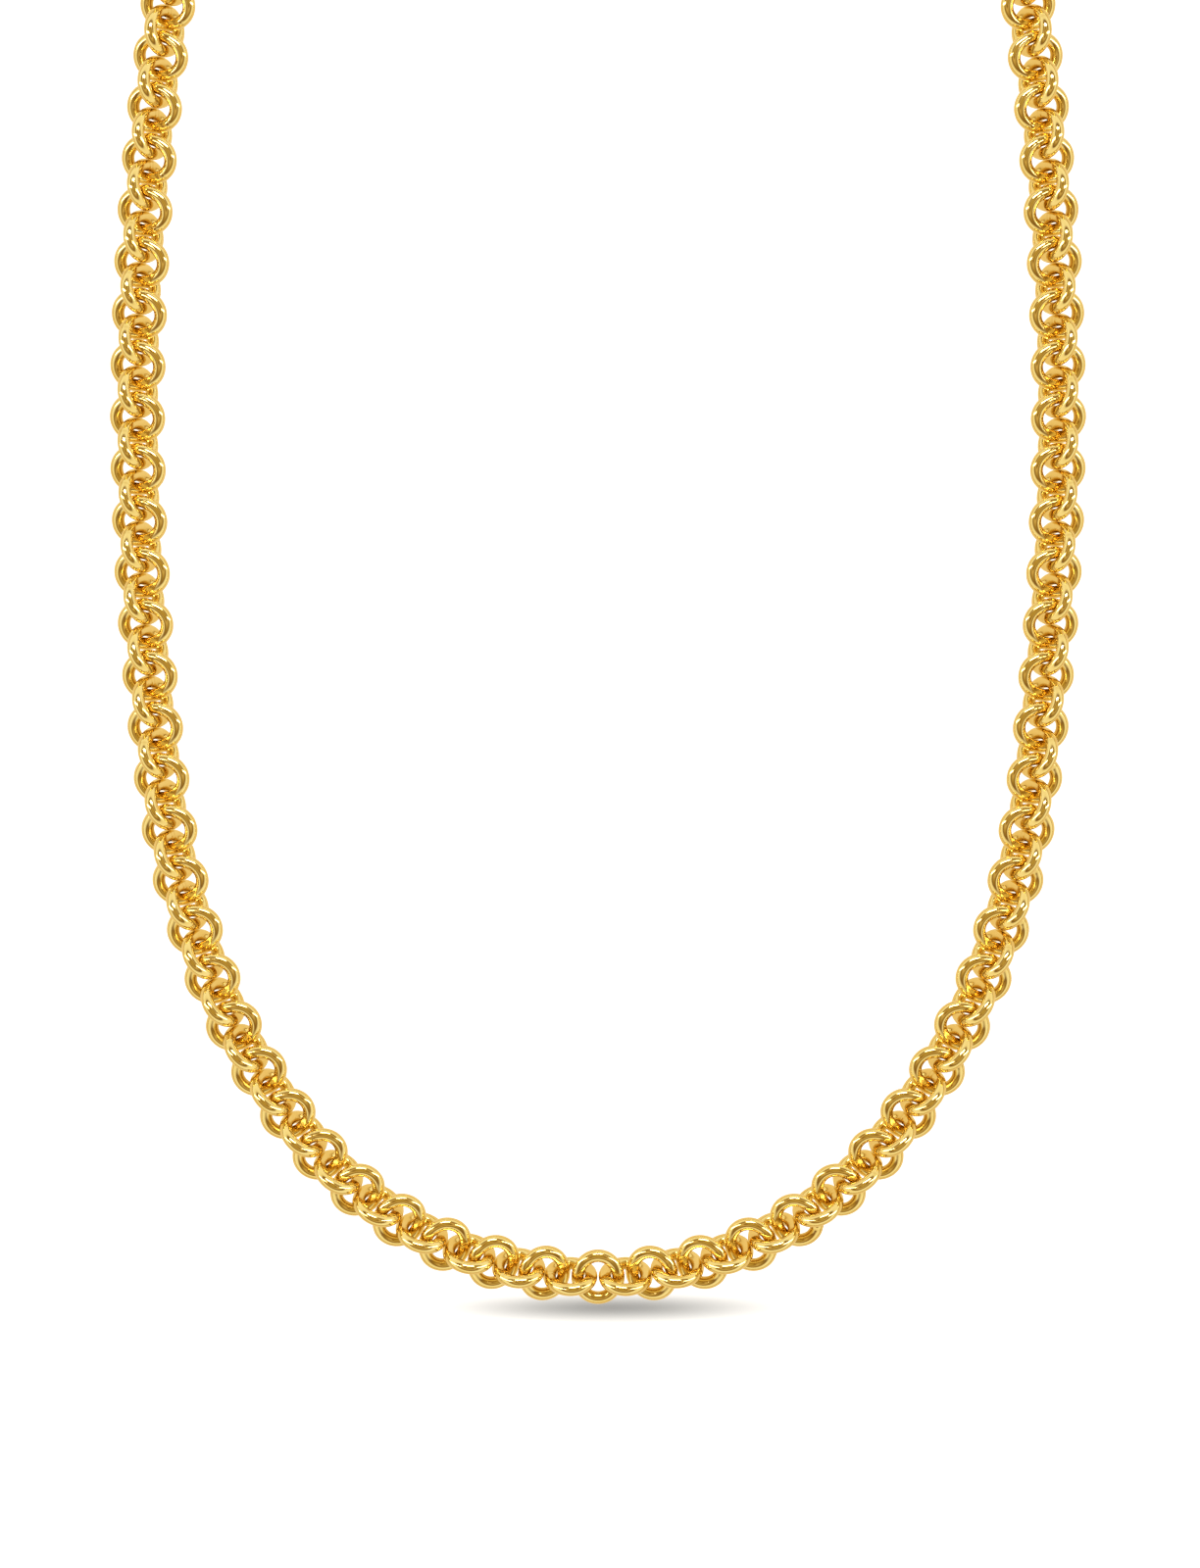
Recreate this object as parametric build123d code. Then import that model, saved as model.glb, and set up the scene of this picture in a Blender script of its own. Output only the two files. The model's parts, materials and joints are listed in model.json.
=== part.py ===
from build123d import *

import os
from math import atan2, cos, radians, sin

# Gold belcher chain necklace, laid flat and unclasped, with the middle of the front towards -Y
# and the clasp towards +Y. +Z is up. Millimetres and degrees.
# Every link is a slightly oval soldered ring. Even links lie nearly flat (face links), odd links
# stand nearly on edge (edge links). Link 0 is the middle of the front, and the two strands are
# mirror images of each other.

# ---- links
LINK_WIDTH = 6.0            # outside, across the chain
LINK_LENGTH = 5.4           # outside, along the chain
WIRE = 1.3                  # diameter of the link wire
PITCH = 5.22                # from one face link to the next face link
LINKS_PER_STRAND = 84

# A link's pose: roll about the chain's line, tilt along the chain, spin in the ring's own plane.
FACE_ROLL, FACE_TILT, FACE_SPIN = 21.0, 14.9, -3.2
EDGE_ROLL, EDGE_TILT, EDGE_SPIN = 55.1, 11.2, -22.6
EDGE_OUT, EDGE_UP = -0.017, 0.015

# The middle link has no tilt, so it stands a little further from its neighbours.
MIDDLE_ROLL = 23.2
MIDDLE_OUT, MIDDLE_UP = -0.028, 0.359
MIDDLE_SPACING = 5.45
FIRST_EDGE_ROLL, FIRST_EDGE_TILT, FIRST_EDGE_SPIN = 57.0, 8.8, -29.9
FIRST_EDGE_OUT, FIRST_EDGE_UP, FIRST_EDGE_ALONG = 0.068, 0.060, -0.051

# ---- the line that the chain lies on: tangent arcs from the middle of the front, (radius, turn)
FRONT_ARCS = [(37.9, 51.6), (64.3, 18.4), (80.0, 12.1), (279.4, 23.9)]

# ---- segments: links that stay together between two hinges
SHORT_SEGMENT, LONG_SEGMENT = 3, 5
SHORT_SEGMENTS, LONG_SEGMENTS = 21, 4

# ---- end rings
JUMP_RING_OUTSIDE, JUMP_RING_WIRE = 5.6, 0.9
JUMP_RING_ROLL, JUMP_RING_TILT = 65.0, 8.0
CATCH_RING_OUTSIDE, CATCH_RING_WIRE = 7.0, 1.2
CATCH_RING_DROP = 16.0      # far side down

# ---- lobster clasp, in its own frame: X towards the nose, Y away from the gate, Z its thickness
EYE_RADIUS, EYE_HOLE = 2.1, 1.3
EYE_THICKNESS, EYE_LENGTH = 1.6, 1.1
NOSE_CENTRE, NOSE_RADIUS = 8.3, 3.0
BODY_THICKNESS, BODY_ROUND = 3.0, 1.0
MOUTH_FRONT, MOUTH_FRONT_RADIUS = 8.5, 1.75
MOUTH_BACK, MOUTH_BACK_RADIUS = 5.2, 1.05
GATE_BACK, GATE_REACH, GATE_GAP = 3.7, 5.95, 0.12
PIVOT_X, PIVOT_Y = 3.0, -1.05
RIVET_RADIUS, RIVET_CLEARANCE = 0.4, 0.05
HUB_RADIUS = 0.95
LEVER_THICKNESS, ARM_THICKNESS, ARM_BACK = 1.2, 2.2, 4.3
SLOT_BACK, SLOT_FRONT, SLOT_ROOF, SLOT_WIDTH = 2.5, 5.2, 0.6, 1.4
TAB_X, TAB_Y, TAB_RADIUS = 4.7, -2.45, 0.8
SPRING_THICKNESS, SPRING_FRONT = 0.2, 4.0
CLASP_PITCH = 4.3           # nose down

HALF_WIDTH = (LINK_WIDTH - WIRE) / 2
HALF_LENGTH = (LINK_LENGTH - WIRE) / 2
HALF_PITCH = PITCH / 2
UP = Vector(0, 0, 1)


# ---- the chain's line -----------------------------------------------------------------------

def nape_arc():
    """The last arc, which brings the line back to the middle at the nape, square to it."""
    half_width = 0
    heading = 0
    for radius, turn in FRONT_ARCS:
        half_width += radius * (sin(radians(heading + turn)) - sin(radians(heading)))
        heading += turn
    return half_width / sin(radians(heading)), 180 - heading


ARCS = FRONT_ARCS + [nape_arc()]


def line_frame(distance, side):
    """Point, forward and outward directions on one strand's line. Side is -1 left, +1 right."""
    x, y, heading = 0, 0, 0
    left = distance
    for radius, turn in ARCS:
        here = min(left, radius * radians(turn)) if radius != ARCS[-1][0] else left
        end = heading + here / radius
        x += radius * (sin(end) - sin(heading))
        y += radius * (cos(heading) - cos(end))
        heading = end
        left -= here
        if left <= 0:
            break
    forward = Vector(side * cos(heading), sin(heading), 0)
    outward = Vector(side * sin(heading), -cos(heading), 0)
    return Vector(side * x, y, 0), forward, outward


# ---- links ----------------------------------------------------------------------------------

def ring_pose(distance, side, roll, tilt, spin=0.0, out=0.0, up=0.0):
    """Centre, long axis and short axis of a ring on the line. Positive roll lifts the outside."""
    point, forward, outward = line_frame(distance, side)
    across = outward * cos(radians(roll)) + UP * sin(radians(roll))
    lean = (outward * sin(radians(roll)) - UP * cos(radians(roll))) * (1 if roll > 0 else -1)
    along = forward * cos(radians(tilt)) + lean * sin(radians(tilt))
    long_axis = across * cos(radians(spin)) + along * sin(radians(spin))
    short_axis = along * cos(radians(spin)) - across * sin(radians(spin))
    return point + outward * out + UP * up, long_axis, short_axis


def link_distance(number):
    """Distance along the line of a strand's link: 1 is the first edge link, 2 a face link."""
    return MIDDLE_SPACING + (number - 2) * HALF_PITCH


def link_pose(number, side):
    """Centre, long axis and short axis of a link."""
    if number == 0:
        return ring_pose(0, side, -MIDDLE_ROLL, 0, 0, MIDDLE_OUT, MIDDLE_UP)
    if number == 1:
        return ring_pose(link_distance(1) + FIRST_EDGE_ALONG, side, FIRST_EDGE_ROLL,
                         FIRST_EDGE_TILT, FIRST_EDGE_SPIN, FIRST_EDGE_OUT, FIRST_EDGE_UP)
    if number % 2:
        return ring_pose(link_distance(number), side, EDGE_ROLL, EDGE_TILT, EDGE_SPIN,
                         EDGE_OUT, EDGE_UP)
    return ring_pose(link_distance(number), side, -FACE_ROLL, FACE_TILT, FACE_SPIN)


def oval_ring(half_width, half_length, wire):
    """A ring of round wire round Z, whose middle line is an oval of four tangent arcs."""
    shift = (half_width - half_length) / (2 - 2 ** 0.5)
    small = half_width - shift
    large = half_length + shift
    pieces = []
    for turn in (0, 180):
        end = Pos(shift, 0, 0) * Rot(0, 0, -45) * Torus(small, wire / 2, major_angle=90, align=None)
        flank = Pos(0, -shift, 0) * Rot(0, 0, 45) * Torus(large, wire / 2, major_angle=90, align=None)
        pieces += [Rot(0, 0, turn) * end, Rot(0, 0, turn) * flank]
    return Solid(pieces[0].fuse(*pieces[1:]).solids()[0].wrapped)


def ring_place(pose):
    """Location that carries a ring made round Z, long axis on X, to a pose on the line."""
    centre, long_axis, short_axis = pose
    return Plane(origin=centre, x_dir=long_axis, z_dir=long_axis.cross(short_axis)).location


LINK = oval_ring(HALF_WIDTH, HALF_LENGTH, WIRE)


def link(number, side):
    return LINK.moved(ring_place(link_pose(number, side)))


def far_end(pose, half_width, half_length, side, distance):
    """Middle of the wire at a ring's end away from the front, and the wire's direction there."""
    centre, long_axis, short_axis = pose
    forward = line_frame(distance, side)[1]
    angle = atan2(half_length * short_axis.dot(forward), half_width * long_axis.dot(forward))
    point = centre + long_axis * (half_width * cos(angle)) + short_axis * (half_length * sin(angle))
    wire_line = short_axis * (half_length * cos(angle)) - long_axis * (half_width * sin(angle))
    return point, wire_line.normalized()


# ---- segments -------------------------------------------------------------------------------

def segments():
    """First and last link of each segment of a strand, from the front to the clasp."""
    first = 2
    spans = []
    for size in [SHORT_SEGMENT] * SHORT_SEGMENTS + [LONG_SEGMENT] * LONG_SEGMENTS:
        spans.append((first, first + size - 1))
        first += size
    return spans


def strand_nodes(side_name, side):
    """The link segments of one strand, by node name."""
    nodes = {}
    for index, (first, last) in enumerate(segments(), start=1):
        rings = [link(number, side) for number in range(first, last + 1)]
        nodes[f"{side_name}_links_{index:02d}"] = rings
    return nodes


# ---- end rings ------------------------------------------------------------------------------

JUMP_RING_RADIUS = (JUMP_RING_OUTSIDE - JUMP_RING_WIRE) / 2
CATCH_RING_RADIUS = (CATCH_RING_OUTSIDE - CATCH_RING_WIRE) / 2
# The jump ring hooks the last face link as an edge link does, and is longer than one.
JUMP_RING_AT = link_distance(LINKS_PER_STRAND + 1) + JUMP_RING_RADIUS - HALF_LENGTH
# Distance between wire middles where the jump ring holds the clasp's eye or the catch ring.
HOOK_GAP = (JUMP_RING_WIRE + CATCH_RING_WIRE) / 2 + 0.3


def jump_ring_pose(side):
    return ring_pose(JUMP_RING_AT, side, JUMP_RING_ROLL, JUMP_RING_TILT)


def hook_point(side):
    """Where the wire of the piece held by the jump ring starts, and the way it points."""
    end = far_end(jump_ring_pose(side), JUMP_RING_RADIUS, JUMP_RING_RADIUS, side, JUMP_RING_AT)[0]
    forward = line_frame(JUMP_RING_AT + 2 * JUMP_RING_RADIUS, side)[1]
    return end - forward * HOOK_GAP, forward


def catch_ring_pose(side):
    """The catch ring hangs from the jump ring with its far side lower."""
    start, forward = hook_point(side)
    way = forward * cos(radians(CATCH_RING_DROP)) - UP * sin(radians(CATCH_RING_DROP))
    return start + way * CATCH_RING_RADIUS, UP.cross(forward), way


# ---- lobster clasp --------------------------------------------------------------------------

def disc(x, y, radius):
    return Pos(x, y) * Circle(radius)


def hull(first, second):
    return make_hull((first.edges() + second.edges()))


def plate(sketch, thickness):
    """A sketch made into a plate, centred on the clasp's middle plane."""
    return Pos(0, 0, -thickness / 2) * extrude(sketch, thickness)


def clasp_outline():
    return hull(disc(0, 0, EYE_RADIUS), disc(NOSE_CENTRE, 0, NOSE_RADIUS))


def clasp_mouth():
    front = disc(MOUTH_FRONT, 0, MOUTH_FRONT_RADIUS)
    return hull(front, disc(MOUTH_BACK, 0, MOUTH_BACK_RADIUS))


def gate_window():
    """The gate's side of the clasp, out to an arc round the lever's pivot."""
    length = NOSE_CENTRE + NOSE_RADIUS - GATE_BACK
    side = Pos(GATE_BACK + length / 2, -NOSE_RADIUS) * Rectangle(length, 2 * NOSE_RADIUS)
    return side & disc(PIVOT_X, PIVOT_Y, GATE_REACH)


def clasp_body():
    body = plate(clasp_outline(), BODY_THICKNESS)
    body = fillet(body.faces().filter_by(Axis.Z).edges(), BODY_ROUND)
    body -= plate(clasp_mouth(), BODY_THICKNESS + 1)
    body -= plate(gate_window(), BODY_THICKNESS + 1)
    # The slot for the lever's hub and the spring.
    slot_length = SLOT_FRONT - SLOT_BACK
    slot = Pos(SLOT_BACK + slot_length / 2, SLOT_ROOF - NOSE_RADIUS) * Rectangle(
        slot_length, 2 * NOSE_RADIUS)
    slot += disc(PIVOT_X, PIVOT_Y, HUB_RADIUS + GATE_GAP)
    body -= plate(slot, SLOT_WIDTH)
    # The eye is thinner than the body.
    length = EYE_RADIUS + EYE_LENGTH
    for side in (-1, 1):
        trim = Pos(EYE_LENGTH - length / 2, 0, side * (EYE_THICKNESS + BODY_THICKNESS) / 2)
        body -= trim * Box(length, 3 * EYE_RADIUS, BODY_THICKNESS)
    body -= plate(disc(0, 0, EYE_HOLE), BODY_THICKNESS + 1)
    body -= plate(disc(PIVOT_X, PIVOT_Y, RIVET_RADIUS), BODY_THICKNESS + 1)
    return body


def clasp_lever():
    wall = (gate_window() & clasp_outline()) - clasp_mouth()
    wall &= disc(PIVOT_X, PIVOT_Y, GATE_REACH - GATE_GAP)
    tip = NOSE_CENTRE + NOSE_RADIUS
    web = wall & (Pos(GATE_BACK + GATE_GAP + tip / 2, 0) * Rectangle(tip, 3 * tip))
    web += disc(PIVOT_X, PIVOT_Y, HUB_RADIUS)
    web += Pos(PIVOT_X + HUB_RADIUS / 2, PIVOT_Y) * Rectangle(HUB_RADIUS, 1.4 * HUB_RADIUS)
    web -= disc(PIVOT_X, PIVOT_Y, RIVET_RADIUS + RIVET_CLEARANCE)
    arm = wall & (Pos(ARM_BACK + tip / 2, 0) * Rectangle(tip, 3 * tip))
    tab = disc(TAB_X, TAB_Y, TAB_RADIUS) - clasp_mouth()
    lever = plate(web, LEVER_THICKNESS) + plate(arm, ARM_THICKNESS)
    return lever + plate(tab, ARM_THICKNESS)


def clasp_rivet():
    return Pos(PIVOT_X, PIVOT_Y) * Cylinder(RIVET_RADIUS, BODY_THICKNESS)


def clasp_spring():
    """A leaf against the slot's roof, drawn pressed flat, as it is with the gate open."""
    leaf = Pos((SLOT_BACK + SPRING_FRONT) / 2, SLOT_ROOF - SPRING_THICKNESS / 2) * Rectangle(
        SPRING_FRONT - SLOT_BACK, SPRING_THICKNESS)
    return plate(leaf, LEVER_THICKNESS)


def clasp_place():
    """The eye hangs in the left jump ring and the clasp's nose rests lower."""
    start, forward = hook_point(-1)
    slope = radians(CLASP_PITCH)
    way = forward * cos(slope) - UP * sin(slope)
    face = forward * sin(slope) + UP * cos(slope)
    eye = start + way * ((EYE_RADIUS + EYE_HOLE) / 2)
    return Plane(origin=eye, x_dir=way, z_dir=face).location


def clasp_nodes():
    place = clasp_place()
    pieces = {
        "clasp_body": clasp_body(),
        "clasp_lever": clasp_lever(),
        "clasp_rivet": clasp_rivet(),
        "clasp_spring": clasp_spring(),
    }
    return {name: [piece.solid().moved(place)] for name, piece in pieces.items()}


# ---- the whole necklace ---------------------------------------------------------------------

def all_nodes():
    nodes = {"middle_links": [link(1, -1), link(0, -1), link(1, 1)]}
    nodes.update(strand_nodes("left", -1))
    nodes.update(strand_nodes("right", 1))
    jump_ring = Torus(JUMP_RING_RADIUS, JUMP_RING_WIRE / 2)
    catch_ring = Torus(CATCH_RING_RADIUS, CATCH_RING_WIRE / 2)
    nodes["left_jump_ring"] = [jump_ring.moved(ring_place(jump_ring_pose(-1)))]
    nodes["right_jump_ring"] = [jump_ring.moved(ring_place(jump_ring_pose(1)))]
    nodes["catch_ring"] = [catch_ring.moved(ring_place(catch_ring_pose(1)))]
    nodes.update(clasp_nodes())
    return nodes


def base_centre(nodes):
    """Bottom centre of the box round everything, which becomes the origin."""
    boxes = [solid.bounding_box() for solids in nodes.values() for solid in solids]
    low = [min(getattr(box.min, axis) for box in boxes) for axis in "XYZ"]
    high = [max(getattr(box.max, axis) for box in boxes) for axis in "XYZ"]
    return Vector((low[0] + high[0]) / 2, (low[1] + high[1]) / 2, low[2])


NODES = all_nodes()
ORIGIN = base_centre(NODES)


def main():
    os.makedirs("parts", exist_ok=True)
    for name, solids in NODES.items():
        moved = [solid.moved(Location(-ORIGIN)) for solid in solids]
        shape = moved[0] if len(moved) == 1 else Compound(children=moved)
        export_step(shape, f"parts/{name}.step")


if __name__ == "__main__":
    main()
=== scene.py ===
import json
import math

import bmesh
import bpy
import numpy as np
from mathutils import Matrix, Vector

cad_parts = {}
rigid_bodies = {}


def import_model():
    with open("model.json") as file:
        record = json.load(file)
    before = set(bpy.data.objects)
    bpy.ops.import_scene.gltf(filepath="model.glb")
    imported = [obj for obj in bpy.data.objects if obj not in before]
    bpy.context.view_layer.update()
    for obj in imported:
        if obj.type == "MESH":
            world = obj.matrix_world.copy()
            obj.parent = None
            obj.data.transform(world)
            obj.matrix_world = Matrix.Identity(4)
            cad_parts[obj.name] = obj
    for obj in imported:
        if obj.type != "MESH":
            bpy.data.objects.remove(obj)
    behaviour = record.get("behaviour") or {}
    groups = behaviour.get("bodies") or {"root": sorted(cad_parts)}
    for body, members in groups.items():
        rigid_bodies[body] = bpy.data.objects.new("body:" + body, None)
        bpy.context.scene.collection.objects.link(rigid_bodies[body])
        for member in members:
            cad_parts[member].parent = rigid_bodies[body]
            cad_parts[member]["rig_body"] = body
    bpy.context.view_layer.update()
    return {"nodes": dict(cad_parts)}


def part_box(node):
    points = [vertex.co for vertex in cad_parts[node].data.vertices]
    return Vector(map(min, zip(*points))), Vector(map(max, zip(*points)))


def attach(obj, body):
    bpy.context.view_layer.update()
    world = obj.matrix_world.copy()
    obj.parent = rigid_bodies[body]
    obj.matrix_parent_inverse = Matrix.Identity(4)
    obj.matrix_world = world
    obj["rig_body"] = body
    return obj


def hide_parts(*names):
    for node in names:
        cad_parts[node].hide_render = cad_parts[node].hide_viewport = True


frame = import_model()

MM = 0.001

# The camera looks straight down at the front of the necklace, which lies on a white table.
VIEW_HEIGHT = 158.7 * MM          # what the camera sees, top to bottom
VIEW_ABOVE_FRONT = 49.7 * MM      # from the middle link's centre to the picture's centre
VIEW_RIGHT = 0.2 * MM
LENS = 135.0
SENSOR_HEIGHT = 24.0

# Link and ring meshes: steps round the ring and round the wire, and how many link meshes differ.
RING_STEPS = 112
WIRE_STEPS = 26
LINK_VARIANTS = 6

# The wire's irregularities, as parts of its radius, and the joint's widths in radians.
UNEVEN = 0.0035
BEAD_HEIGHT, BEAD_WIDTH = 0.022, 0.045
GROOVE_DEPTH, GROOVE_WIDTH, GROOVE_AT = 0.014, 0.035, 0.10
STEP_LIMIT, STEP_WIDTH, STEP_REACH = 0.012, 0.05, 0.6
WEAR_DEPTH = 0.02
# Inner side: tarnish plus painted occlusion shade, darker where the wire faces the ring's centre;
# groove: tarnish in the joint's groove.
INNER_PATINA_AND_SHADE, GROOVE_PATINA = 0.55, 0.35

# The clasp's rounded edges.
CASTING_ROUND, TRIGGER_ROUND = 0.16 * MM, 0.12 * MM
RIVET_ROUND, SPRING_ROUND = 0.06 * MM, 0.03 * MM
ROUND_STEPS = 4
SHARP_ANGLE = math.radians(35)
FLAT_ANGLE = math.radians(0.6)
WELD = 1e-7

# Gold's surface: pattern scales per metre, and bump strengths and heights.
DRIFT_SCALE, MARK_SCALE, DENT_SCALE, GRAIN_SCALE = 380.0, 1500.0, 900.0, 9000.0
DENT_STRENGTH, DENT_HEIGHT = 0.25, 0.02 * MM
GRAIN_STRENGTH, GRAIN_HEIGHT = 0.12, 0.004 * MM

# Lamps, placed from the point that the camera looks at, in metres and watts.
KEY_PLACE, KEY_SIZE, KEY_POWER = (0.0, 0.45, 0.62), (0.45, 0.12), 2.6
FILL_PLACE, FILL_SIZE, FILL_POWER = (0.55, 0.05, 0.40), (0.08, 0.55), 1.2


# The light tent's colour by the sine of the height above the horizon.
TENT = [(0.0, (0.30, 0.18, 0.06)), (0.05, (0.95, 0.90, 0.74)), (0.22, (1.0, 0.98, 0.90)),
        (0.54, (0.92, 0.86, 0.68)), (0.64, (0.20, 0.10, 0.03)), (0.78, (0.38, 0.25, 0.07)),
        (0.90, (0.66, 0.50, 0.24)), (0.945, (0.24, 0.13, 0.035)), (0.975, (0.46, 0.32, 0.09)),
        (1.0, (0.54, 0.39, 0.11))]
TENT_STRENGTH = 1.15

# The table, and the soft shadow along the front links.
TABLE_HALF = 1.6
TABLE_DROP = 80 * MM
TABLE_WHITE = 0.92
TABLE_DULL = 0.42
TABLE_GLOW = 0.95
# Painted reflection: the duller warm floor colour that only reflections in the gold see.
REFLECTED_FLOOR_SHADE = (0.50, 0.37, 0.17)
SHADOW_TINT = (0.03, 0.04, 0.05)
SHADOW_DEPTH = 0.72
SHADOW_SINK = 0.05 * MM
SHADOW_RIGHT, SHADOW_BELOW = 1.4 * MM, 3.3 * MM
SHADOW_HALF_WIDTH, SHADOW_HALF_HEIGHT = 25 * MM, 2.3 * MM


# ---- helpers --------------------------------------------------------------------------------

def front_centre():
    """The middle of the front of the necklace, from the frame."""
    low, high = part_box("middle_links")
    return (low + high) / 2



def new_object(name, mesh):
    piece = bpy.data.objects.new(name, mesh)
    bpy.context.scene.collection.objects.link(piece)
    return piece


def mesh_from_arrays(name, points, faces):
    mesh = bpy.data.meshes.new(name)
    mesh.from_pydata([tuple(p) for p in points], [], [tuple(f) for f in faces])
    mesh.polygons.foreach_set("use_smooth", [True] * len(mesh.polygons))
    mesh.update()
    return mesh


def node_islands(node):
    """The separate closed pieces of a CAD node, each as points, areas and face centres."""
    work = bmesh.new()
    work.from_mesh(frame["nodes"][node].data)
    bmesh.ops.remove_doubles(work, verts=work.verts, dist=WELD)
    work.verts.ensure_lookup_table()
    left = set(work.verts)
    islands = []
    while left:
        start = min(left, key=lambda vert: vert.index)
        left.discard(start)
        reached, queue = [start], [start]
        while queue:
            vert = queue.pop()
            for edge in vert.link_edges:
                other = edge.other_vert(vert)
                if other in left:
                    left.discard(other)
                    reached.append(other)
                    queue.append(other)
        faces = {face for vert in reached for face in vert.link_faces}
        centres = np.array([face.calc_center_median() for face in faces])
        areas = np.array([face.calc_area() for face in faces])
        islands.append((np.array([vert.co for vert in reached]), centres, areas))
    work.free()
    return islands


class RingPlace:
    """Where a CAD ring is: its centre, its axes, its middle line's half sizes and its wire."""

    def __init__(self, island):
        points, centres, areas = island
        self.centre = (centres * areas[:, None]).sum(0) / areas.sum()
        spread = (centres - self.centre) * np.sqrt(areas)[:, None]
        values, vectors = np.linalg.eigh(spread.T @ spread)
        self.normal, self.short, self.long = vectors[:, 0], vectors[:, 1], vectors[:, 2]
        if self.long[1] < 0:
            self.long = -self.long
        self.normal = np.cross(self.long, self.short)
        offset = points - self.centre
        self.wire = np.abs(offset @ self.normal).max()
        self.half_long = np.abs(offset @ self.long).max() - self.wire
        self.half_short = np.abs(offset @ self.short).max() - self.wire

    def matrix(self):
        turn = Matrix([list(row) for row in np.array([self.long, self.short, self.normal]).T])
        return Matrix.Translation(Vector(self.centre)) @ turn.to_4x4()


# ---- materials ------------------------------------------------------------------------------

class Nodes:
    """Short ways to add and link shader nodes."""

    def __init__(self, name):
        self.material = bpy.data.materials.new(name)
        self.material.use_nodes = True
        self.tree = self.material.node_tree
        self.shader = self.tree.nodes["Principled BSDF"]

    def add(self, kind, **inputs):
        node = self.tree.nodes.new(kind)
        for socket, value in inputs.items():
            node.inputs[socket.replace("_", " ")].default_value = value
        return node

    def link(self, source, output, target, socket):
        self.tree.links.new(source.outputs[output], target.inputs[socket])

    def noise(self, scale, detail=3.0, roughness=0.5):
        coords = self.tree.nodes.new("ShaderNodeTexCoord")
        noise = self.add("ShaderNodeTexNoise", Scale=scale, Detail=detail, Roughness=roughness)
        self.link(coords, "Object", noise, "Vector")
        return noise

    def ramp(self, source, output, stops):
        ramp = self.tree.nodes.new("ShaderNodeValToRGB")
        for index, (place, colour) in enumerate(stops):
            if index > 1:
                ramp.color_ramp.elements.new(place)
            ramp.color_ramp.elements[index].position = place
            ramp.color_ramp.elements[index].color = (*colour, 1.0)
        self.link(source, output, ramp, "Fac")
        return ramp

    def remap(self, source, output, low, high, low_out, high_out):
        remap = self.tree.nodes.new("ShaderNodeMapRange")
        values = {1: low, 2: high, 3: low_out, 4: high_out}
        for index, value in values.items():
            remap.inputs[index].default_value = value
        self.tree.links.new(source.outputs[output], remap.inputs[0])
        return remap

    def mix_colour(self, factor, factor_output, first, second):
        mix = self.tree.nodes.new("ShaderNodeMix")
        mix.data_type = "RGBA"
        self.tree.links.new(factor.outputs[factor_output], mix.inputs[0])
        for place, colour in ((6, first), (7, second)):
            if isinstance(colour, tuple):
                mix.inputs[place].default_value = (*colour, 1.0)
            else:
                self.tree.links.new(colour, mix.inputs[place])
        return mix


def gold_material(name, bright, deep, patina_and_shade, smooth, worn):
    """Polished gold: two tones that drift, patina plus painted shade on the inner side, fine wear
    and tiny dents.
    """
    nodes = Nodes(name)
    shader = nodes.shader
    shader.inputs["Metallic"].default_value = 1.0
    drift = nodes.noise(DRIFT_SCALE, 2.0)
    tone = nodes.ramp(drift, "Fac", [(0.35, deep), (0.65, bright)])
    # Per-point darkening from the ring mesh: patina plus painted shade on the inner side, patina
    # in the joint's groove.
    inner = nodes.tree.nodes.new("ShaderNodeAttribute")
    inner.attribute_name = "patina_and_shade"
    patina_and_shade_tone = nodes.mix_colour(inner, "Fac", tone.outputs["Color"], patina_and_shade)
    nodes.tree.links.new(patina_and_shade_tone.outputs[2], shader.inputs["Base Color"])
    # Roughness: smooth with cloudy handling marks.
    marks = nodes.noise(MARK_SCALE, 4.0, 0.6)
    rough = nodes.remap(marks, "Fac", 0.35, 0.7, smooth, worn)
    nodes.tree.links.new(rough.outputs[0], shader.inputs["Roughness"])
    # Bump: small dents and finer scratches.
    dents = nodes.noise(DENT_SCALE, 2.0)
    grain = nodes.noise(GRAIN_SCALE, 3.0, 0.7)
    bump = nodes.add("ShaderNodeBump", Strength=DENT_STRENGTH, Distance=DENT_HEIGHT)
    nodes.link(dents, "Fac", bump, "Height")
    fine = nodes.add("ShaderNodeBump", Strength=GRAIN_STRENGTH, Distance=GRAIN_HEIGHT)
    nodes.link(grain, "Fac", fine, "Height")
    nodes.tree.links.new(bump.outputs["Normal"], fine.inputs["Normal"])
    nodes.tree.links.new(fine.outputs["Normal"], shader.inputs["Normal"])
    return nodes.material


def steel_material():
    nodes = Nodes("spring_steel")
    shader = nodes.shader
    shader.inputs["Metallic"].default_value = 1.0
    brushed = nodes.noise(4000.0, 4.0, 0.7)
    tone = nodes.ramp(brushed, "Fac", [(0.3, (0.42, 0.42, 0.43)), (0.7, (0.62, 0.62, 0.61))])
    nodes.link(tone, "Color", shader, "Base Color")
    rough = nodes.remap(brushed, "Fac", 0.3, 0.7, 0.25, 0.42)
    nodes.tree.links.new(rough.outputs[0], shader.inputs["Roughness"])
    return nodes.material


LINK_GOLD = gold_material("link_gold", (0.86, 0.68, 0.27), (0.82, 0.61, 0.20),
                          (0.58, 0.35, 0.06), 0.07, 0.16)
RING_GOLD = gold_material("ring_gold", (0.87, 0.69, 0.29), (0.83, 0.62, 0.22),
                          (0.60, 0.37, 0.07), 0.09, 0.18)
CLASP_GOLD = gold_material("clasp_gold", (0.86, 0.67, 0.27), (0.81, 0.60, 0.20),
                           (0.56, 0.34, 0.06), 0.11, 0.24)
RIVET_GOLD = gold_material("rivet_gold", (0.83, 0.64, 0.27), (0.77, 0.56, 0.20),
                           (0.52, 0.32, 0.06), 0.16, 0.30)
STEEL = steel_material()


# ---- links and rings ------------------------------------------------------------------------

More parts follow.
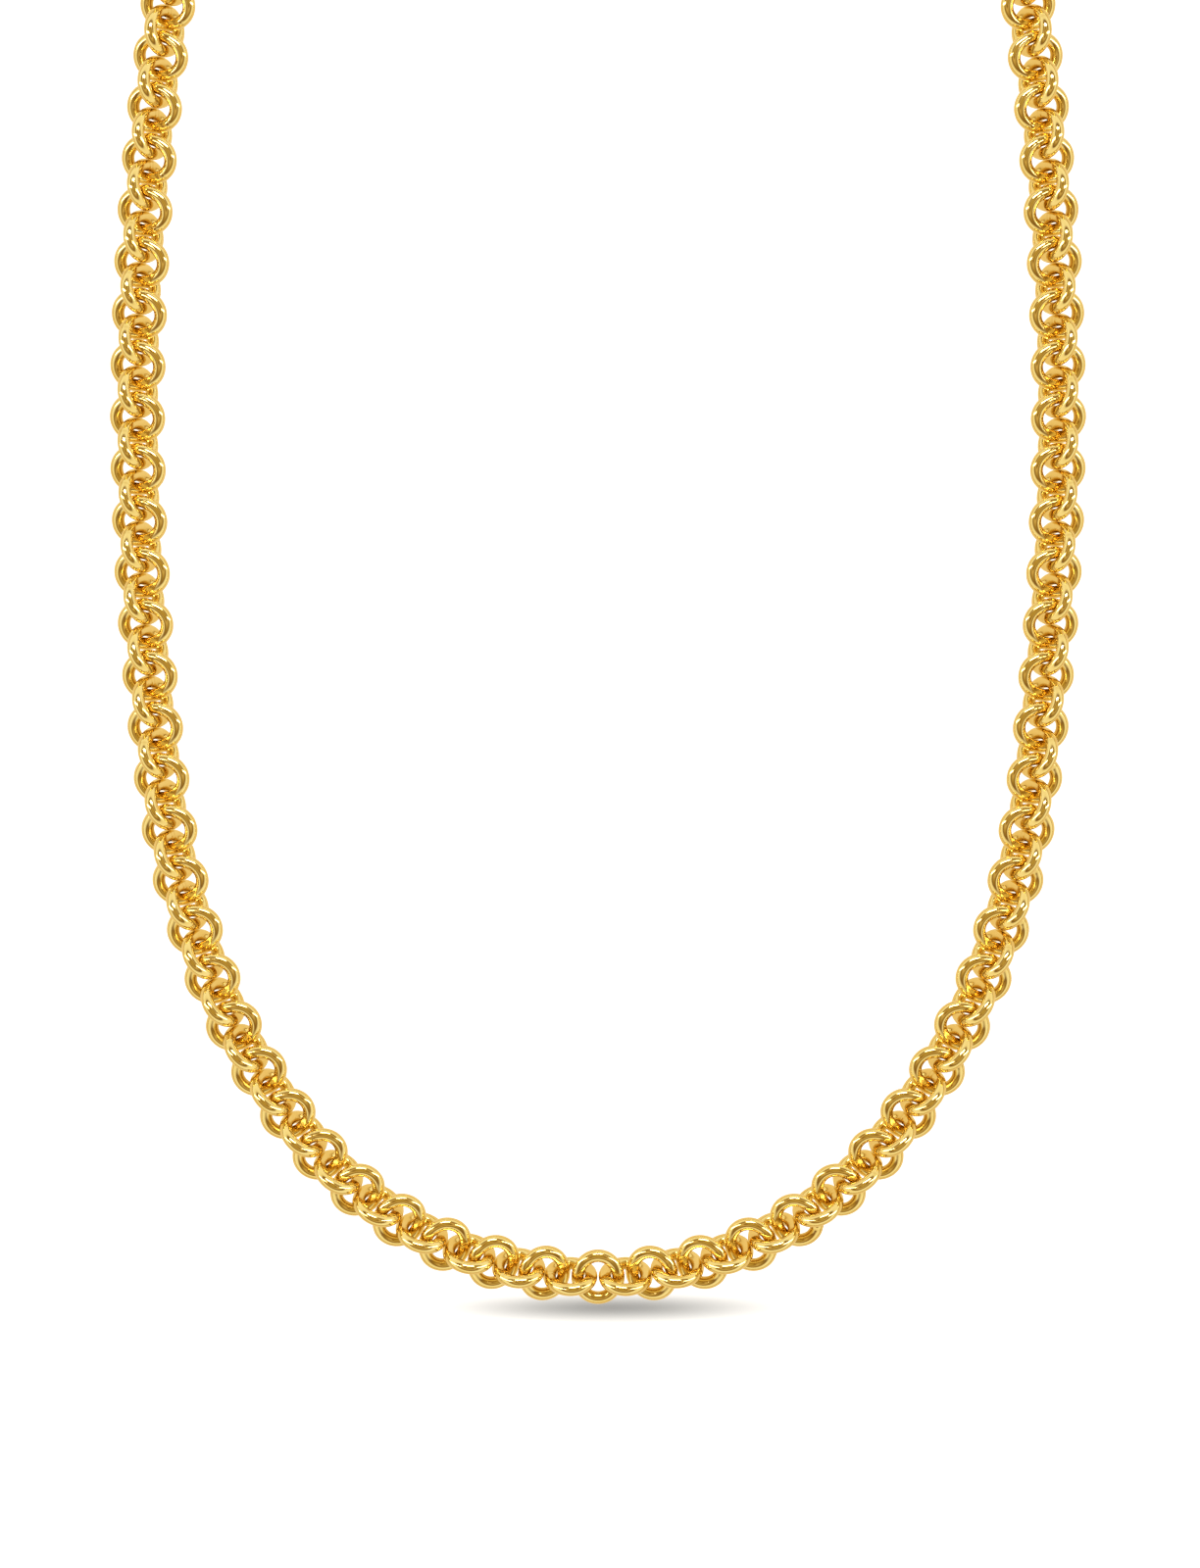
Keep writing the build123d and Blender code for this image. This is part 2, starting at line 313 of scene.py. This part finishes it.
def oval_point(angle, half_long, half_short):
    """A point of an oval of four tangent arcs, and the way out of the ring there."""
    shift = (half_long - half_short) / (2 - math.sqrt(2))
    out = np.array([math.cos(angle), math.sin(angle)])
    if abs(out[0]) >= abs(out[1]):
        middle = np.array([math.copysign(shift, out[0]), 0.0])
        return middle + out * (half_long - shift), out
    middle = np.array([0.0, -math.copysign(shift, out[1])])
    return middle + out * (half_short + shift), out


def ring_mesh(name, half_long, half_short, wire, rng):
    """A ring bent from drawn wire: its soldered joint, worn inner ends and slight unevenness."""
    joint = rng.uniform(0.9, 1.25) * rng.choice([-1, 1]) + rng.choice([0.0, math.pi])
    step = rng.uniform(-STEP_LIMIT, STEP_LIMIT) * wire
    waves = rng.uniform(-1, 1, (4, 2))
    points, patina_and_shade = [], []
    for i in range(RING_STEPS):
        angle = 2 * math.pi * i / RING_STEPS
        middle, out = oval_point(angle, half_long, half_short)
        away = (angle - joint + math.pi) % (2 * math.pi) - math.pi
        bead = math.exp(-(away / BEAD_WIDTH) ** 2)
        groove = math.exp(-((abs(away) - GROOVE_AT) / GROOVE_WIDTH) ** 2)
        unevenness = sum(a * math.cos((k + 2) * angle) + b * math.sin((k + 2) * angle)
                         for k, (a, b) in enumerate(waves))
        radius = wire * (1 + UNEVEN * unevenness + BEAD_HEIGHT * bead - GROOVE_DEPTH * groove)
        lift = step * math.tanh(away / STEP_WIDTH) * math.exp(-(away / STEP_REACH) ** 2)
        worn = abs(math.sin(angle)) ** 6
        for j in range(WIRE_STEPS):
            turn = 2 * math.pi * j / WIRE_STEPS
            inward = max(0.0, -math.cos(turn))
            flat = radius * (1 - WEAR_DEPTH * worn * inward ** 2)
            flat_out = middle + out * (flat * math.cos(turn))
            points.append((flat_out[0], flat_out[1], flat * math.sin(turn) + lift))
            # Patina plus painted shade on the wire's inner side (less where it is worn), and
            # patina in the joint's groove.
            patina_and_shade_level = INNER_PATINA_AND_SHADE * inward ** 2 * (1 - 0.6 * worn) + GROOVE_PATINA * groove
            patina_and_shade.append(min(1.0, patina_and_shade_level))
    faces = []
    for i in range(RING_STEPS):
        for j in range(WIRE_STEPS):
            ahead, across = (i + 1) % RING_STEPS, (j + 1) % WIRE_STEPS
            faces.append((i * WIRE_STEPS + j, ahead * WIRE_STEPS + j,
                          ahead * WIRE_STEPS + across, i * WIRE_STEPS + across))
    mesh = mesh_from_arrays(name, points, faces)
    mesh.attributes.new("patina_and_shade", "FLOAT", "POINT").data.foreach_set("value", patina_and_shade)
    return mesh


def place_ring(name, mesh, place, node, material):
    piece = new_object(name, mesh)
    piece.matrix_world = place.matrix()
    if not mesh.materials:
        mesh.materials.append(material)
    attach(piece, frame["nodes"][node]["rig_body"])
    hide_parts(node)
    return piece


def make_links():
    rng = np.random.default_rng(18)
    nodes = sorted(name for name in frame["nodes"] if "_links" in name)
    places = {node: [RingPlace(island) for island in node_islands(node)] for node in nodes}
    sample = places["middle_links"][0]
    meshes = [ring_mesh(f"link_{k}", sample.half_long, sample.half_short, sample.wire, rng)
              for k in range(LINK_VARIANTS)]
    for node in nodes:
        for index, place in enumerate(places[node], start=1):
            name = f"{node.replace('_links', '_link')}_{index}"
            mesh = meshes[int(rng.integers(LINK_VARIANTS))]
            place_ring(name, mesh, place, node, LINK_GOLD)


def make_end_rings():
    rng = np.random.default_rng(7)
    for node in ("left_jump_ring", "right_jump_ring", "catch_ring"):
        place = RingPlace(node_islands(node)[0])
        half = (place.half_long + place.half_short) / 2
        mesh = ring_mesh(f"{node}_mesh", half, half, place.wire, rng)
        place_ring(f"{node}_wire", mesh, place, node, RING_GOLD)


# ---- clasp ----------------------------------------------------------------------------------

def softened_copy(node, name, material, round_by):
    """A CAD piece with its flat faces cleaned up and its sharp edges rounded."""
    mesh = frame["nodes"][node].data.copy()
    mesh.materials.clear()
    mesh.materials.append(material)
    work = bmesh.new()
    work.from_mesh(mesh)
    bmesh.ops.remove_doubles(work, verts=work.verts, dist=WELD)
    bmesh.ops.dissolve_limit(work, angle_limit=FLAT_ANGLE, verts=work.verts,
                             edges=work.edges, delimit=set())
    work.to_mesh(mesh)
    work.free()
    piece = new_object(name, mesh)
    bevel = piece.modifiers.new("rounded_edges", "BEVEL")
    bevel.width = round_by
    bevel.segments = ROUND_STEPS
    bevel.limit_method = "ANGLE"
    bevel.angle_limit = SHARP_ANGLE
    # Flat faces stay flat in the shading, up to the edge of their rounds.
    flat = piece.modifiers.new("flat_faces", "WEIGHTED_NORMAL")
    flat.mode = "FACE_AREA"
    flat.weight = 100
    flat.keep_sharp = False
    mesh.polygons.foreach_set("use_smooth", [True] * len(mesh.polygons))
    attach(piece, frame["nodes"][node]["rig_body"])
    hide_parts(node)
    return piece


def make_clasp():
    softened_copy("clasp_body", "clasp_casting", CLASP_GOLD, CASTING_ROUND)
    softened_copy("clasp_lever", "clasp_trigger", CLASP_GOLD, TRIGGER_ROUND)
    softened_copy("clasp_rivet", "clasp_rivet_head", RIVET_GOLD, RIVET_ROUND)
    softened_copy("clasp_spring", "clasp_leaf_spring", STEEL, SPRING_ROUND)


# ---- table, light and camera ----------------------------------------------------------------

def flat_rectangle(name, half_width, half_height):
    corners = [(-half_width, -half_height, 0), (half_width, -half_height, 0),
               (half_width, half_height, 0), (-half_width, half_height, 0)]
    return new_object(name, mesh_from_arrays(name, corners, [(0, 1, 2, 3)]))


def make_table():
    """A bright white table, low enough to hide no link in any pose."""
    table = flat_rectangle("table", TABLE_HALF, TABLE_HALF)
    table.location.z = -TABLE_DROP
    nodes = Nodes("table_white")
    # The camera sees clean white; the gold sees a duller warm floor, a painted reflection that
    # darkens the links' rims so that they stand out.
    seen = nodes.tree.nodes.new("ShaderNodeLightPath")
    glow = nodes.mix_colour(seen, "Is Camera Ray", REFLECTED_FLOOR_SHADE, (TABLE_WHITE,) * 3)
    nodes.tree.links.new(glow.outputs[2], nodes.shader.inputs["Emission Color"])
    nodes.shader.inputs["Base Color"].default_value = (TABLE_DULL, TABLE_DULL, TABLE_DULL, 1)
    nodes.shader.inputs["Emission Strength"].default_value = TABLE_GLOW
    nodes.shader.inputs["Roughness"].default_value = 0.9
    nodes.shader.inputs["Specular IOR Level"].default_value = 0.0
    table.data.materials.append(nodes.material)


def make_front_shadow():
    """The soft shadow that lies along the front links, on the plane that they rest on."""
    card = flat_rectangle("front_shadow", SHADOW_HALF_WIDTH, SHADOW_HALF_HEIGHT)
    front = front_centre()
    card.location = (front.x + SHADOW_RIGHT, front.y - SHADOW_BELOW, -SHADOW_SINK)
    card.visible_glossy = False
    card.visible_diffuse = False
    card.visible_shadow = False
    nodes = Nodes("front_shadow")
    coords = nodes.tree.nodes.new("ShaderNodeTexCoord")
    place = nodes.tree.nodes.new("ShaderNodeMapping")
    place.vector_type = "TEXTURE"
    place.inputs["Scale"].default_value = (SHADOW_HALF_WIDTH, SHADOW_HALF_HEIGHT, 1)
    nodes.link(coords, "Object", place, "Vector")
    spread = nodes.tree.nodes.new("ShaderNodeTexGradient")
    spread.gradient_type = "SPHERICAL"
    nodes.link(place, "Vector", spread, "Vector")
    shade = nodes.ramp(spread, "Fac", [(0.0, (0.0,) * 3), (1.0, (SHADOW_DEPTH,) * 3)])
    shade.color_ramp.interpolation = "EASE"
    nodes.link(shade, "Color", nodes.shader, "Alpha")
    nodes.shader.inputs["Base Color"].default_value = (*SHADOW_TINT, 1)
    nodes.shader.inputs["Roughness"].default_value = 1.0
    nodes.shader.inputs["Specular IOR Level"].default_value = 0.0
    card.data.materials.append(nodes.material)


def make_world():
    """A light tent: a warm top, a darker band, bright white sides and a dark foot."""
    world = bpy.data.worlds.new("light_tent")
    bpy.context.scene.world = world
    world.use_nodes = True
    tree = world.node_tree
    coords = tree.nodes.new("ShaderNodeTexCoord")
    split = tree.nodes.new("ShaderNodeSeparateXYZ")
    tree.links.new(coords.outputs["Generated"], split.inputs[0])
    ramp = tree.nodes.new("ShaderNodeValToRGB")
    for index, (place, value) in enumerate(TENT):
        if index > 1:
            ramp.color_ramp.elements.new(place)
        ramp.color_ramp.elements[index].position = place
        ramp.color_ramp.elements[index].color = (*value, 1)
    tree.links.new(split.outputs["Z"], ramp.inputs["Fac"])
    tree.links.new(ramp.outputs["Color"], tree.nodes["Background"].inputs["Color"])
    tree.nodes["Background"].inputs["Strength"].default_value = TENT_STRENGTH


def soft_lamp(name, place, target, size, power):
    data = bpy.data.lights.new(name, "AREA")
    data.shape = "RECTANGLE"
    data.size, data.size_y = size
    data.energy = power
    lamp = bpy.data.objects.new(name, data)
    bpy.context.scene.collection.objects.link(lamp)
    lamp.location = place
    lamp.rotation_euler = (Vector(target) - Vector(place)).to_track_quat("-Z", "Y").to_euler()


def make_lights(target):
    x, y = target
    soft_lamp("key_from_nape", (x + KEY_PLACE[0], y + KEY_PLACE[1], KEY_PLACE[2]), (x, y, 0),
              KEY_SIZE, KEY_POWER)
    for name, side in (("fill_left", -1), ("fill_right", 1)):
        place = (x + side * FILL_PLACE[0], y + FILL_PLACE[1], FILL_PLACE[2])
        soft_lamp(name, place, (x, y, 0), FILL_SIZE, FILL_POWER)


def make_camera():
    target = (VIEW_RIGHT, front_centre().y + VIEW_ABOVE_FRONT)
    data = bpy.data.cameras.new("camera")
    data.sensor_fit = "VERTICAL"
    data.sensor_height = SENSOR_HEIGHT
    data.lens = LENS
    data.clip_start = 0.01
    data.clip_end = 10
    camera = bpy.data.objects.new("camera", data)
    bpy.context.scene.collection.objects.link(camera)
    camera.location = (*target, VIEW_HEIGHT * LENS / SENSOR_HEIGHT)
    bpy.context.scene.camera = camera
    return target


make_links()
make_end_rings()
make_clasp()
make_table()
make_front_shadow()
make_world()
make_lights(make_camera())
bpy.context.scene.view_settings.view_transform = "Standard"
